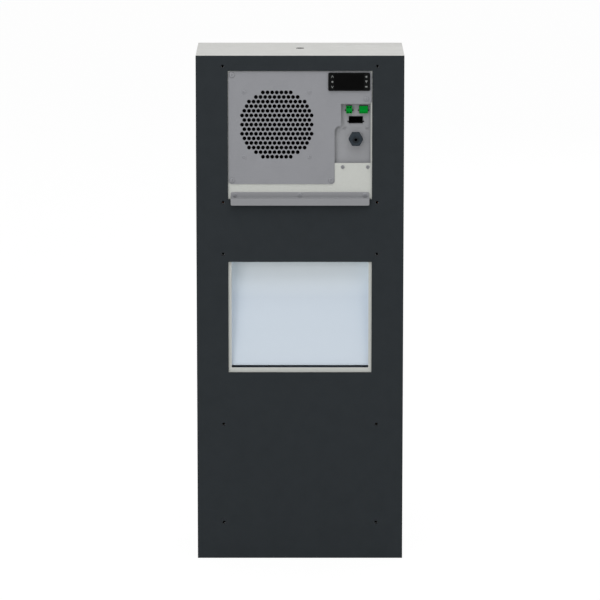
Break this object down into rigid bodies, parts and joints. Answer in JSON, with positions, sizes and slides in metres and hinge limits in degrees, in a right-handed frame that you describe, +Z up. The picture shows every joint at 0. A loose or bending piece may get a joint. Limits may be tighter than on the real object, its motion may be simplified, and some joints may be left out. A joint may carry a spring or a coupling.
{
  "type": "enclosure cooling unit",
  "caption": "Wall or door mounted cooling unit for an electrical cabinet, mounting side forward, with fan intake, cold air outlet, hanging hook, controller and connection bay.",
  "frame": {"origin": "middle of the unit's footprint, at the height of its lower edge", "axes": "+X to the right as seen from the cabinet, +Y from the cabinet towards the hood, +Z up"},
  "size_m": [0.4, 0.232, 0.989],
  "materials": {
    "painted_sheet": "light grey powder coat, finely textured",
    "galvanised_sheet": "galvanised sheet, matt",
    "zinc_fastener": "zinc plated",
    "foam_seal": "closed-cell foam, matt",
    "insulation_foam": "pale smooth foam board",
    "filter_fleece": "loose filter fleece",
    "aluminium_fin": "bare fin stock",
    "copper_tube": "drawn copper",
    "black_enamel": "black enamel, semi-gloss",
    "black_plastic": "moulded, fine matt grain",
    "black_rubber": "soft rubber",
    "gland_plastic": "moulded dark blue-grey",
    "seal_rubber": "soft rubber",
    "green_plastic": "moulded, smooth",
    "circuit_board": "solder resist over glass laminate",
    "display_plastic": "smooth smoked window",
    "key_plastic": "printed foil over a key cap"
  },
  "bodies": {
    "unit": {"mounting_seal": "foam_seal", "rear_panel": "painted_sheet", "weld_nuts": "zinc_fastener", "hood": "painted_sheet", "hood_screws": "zinc_fastener", "base_pan": "galvanised_sheet", "lifting_bracket": "zinc_fastener", "air_duct": "galvanised_sheet", "duct_lining": "insulation_foam", "outlet_baffle": "insulation_foam", "drip_tray": "galvanised_sheet", "drain_hose": "black_rubber", "drain_spigot": "black_plastic", "evaporator_fins": "aluminium_fin", "evaporator_tubes": "copper_tube", "evaporator_end_plates": "galvanised_sheet", "condenser_fins": "aluminium_fin", "condenser_tubes": "copper_tube", "condenser_end_plates": "galvanised_sheet", "compressor": "black_enamel", "compressor_grommets": "black_rubber", "compressor_bolts": "zinc_fastener", "suction_accumulator": "black_enamel", "filter_drier": "copper_tube", "capillary_coil": "copper_tube", "capillary_pipe": "copper_tube", "discharge_pipe": "copper_tube", "liquid_pipe": "copper_tube", "suction_pipe": "copper_tube", "run_capacitor": "aluminium_fin", "condenser_fan_plate": "galvanised_sheet", "condenser_fan_motor": "black_enamel", "evaporator_fan_frame": "black_plastic", "fan_screws": "zinc_fastener", "fan_plate": "galvanised_sheet", "fan_plate_screws": "zinc_fastener", "hanging_hook": "galvanised_sheet", "hook_screws": "zinc_fastener", "connection_plate": "galvanised_sheet", "connection_screws": "zinc_fastener", "control_box": "galvanised_sheet", "control_board": "circuit_board", "board_parts": "green_plastic", "plug_clips": "black_plastic", "power_socket": "black_plastic", "gland_body": "gland_plastic", "gland_seal": "seal_rubber", "gland_locknut": "gland_plastic", "controller_body": "black_plastic", "display_window": "display_plastic"},
    "evaporator_fan": {"evaporator_fan_rotor": "black_plastic"},
    "condenser_fan": {"condenser_fan_rotor": "black_plastic"},
    "intake_panel": {"intake_grille": "painted_sheet", "filter_mat": "filter_fleece"},
    "contact_connector": {"contact_plug": "green_plastic"},
    "alarm_connector": {"alarm_plug": "green_plastic"},
    "clamp_nut": {"gland_nut": "gland_plastic"},
    "up_button": {"key_up": "key_plastic"},
    "set_button": {"key_set": "key_plastic"},
    "down_button": {"key_down": "key_plastic"}
  },
  "joints": [
    {"name": "evaporator_fan_spin", "type": "hinge", "parent": "unit", "child": "evaporator_fan", "pos_m": [-0.0445, -0.073, 0.856], "axis": [0, 1, 0], "continuous": true},
    {"name": "condenser_fan_spin", "type": "hinge", "parent": "unit", "child": "condenser_fan", "pos_m": [0, 0.066, 0.56], "axis": [0, 1, 0], "continuous": true},
    {"name": "intake_panel_pull", "type": "slide", "parent": "unit", "child": "intake_panel", "axis": [0, 1, 0], "range_m": [0, 0.024]},
    {"name": "contact_connector_pull", "type": "slide", "parent": "unit", "child": "contact_connector", "axis": [0, -1, 0], "range_m": [0, 0.014]},
    {"name": "alarm_connector_pull", "type": "slide", "parent": "unit", "child": "alarm_connector", "axis": [0, -1, 0], "range_m": [0, 0.014]},
    {"name": "clamp_nut_turn", "type": "hinge", "parent": "unit", "child": "clamp_nut", "pos_m": [0.1072, -0.103, 0.8285], "axis": [0, -1, 0], "range_deg": [0, 360]},
    {"name": "up_press", "type": "slide", "parent": "unit", "child": "up_button", "axis": [0, 1, 0], "range_m": [0, 0.0004], "stiffness_N_per_m": 1500},
    {"name": "set_press", "type": "slide", "parent": "unit", "child": "set_button", "axis": [0, 1, 0], "range_m": [0, 0.0004], "stiffness_N_per_m": 1500},
    {"name": "down_press", "type": "slide", "parent": "unit", "child": "down_button", "axis": [0, 1, 0], "range_m": [0, 0.0004], "stiffness_N_per_m": 1500}
  ]
}
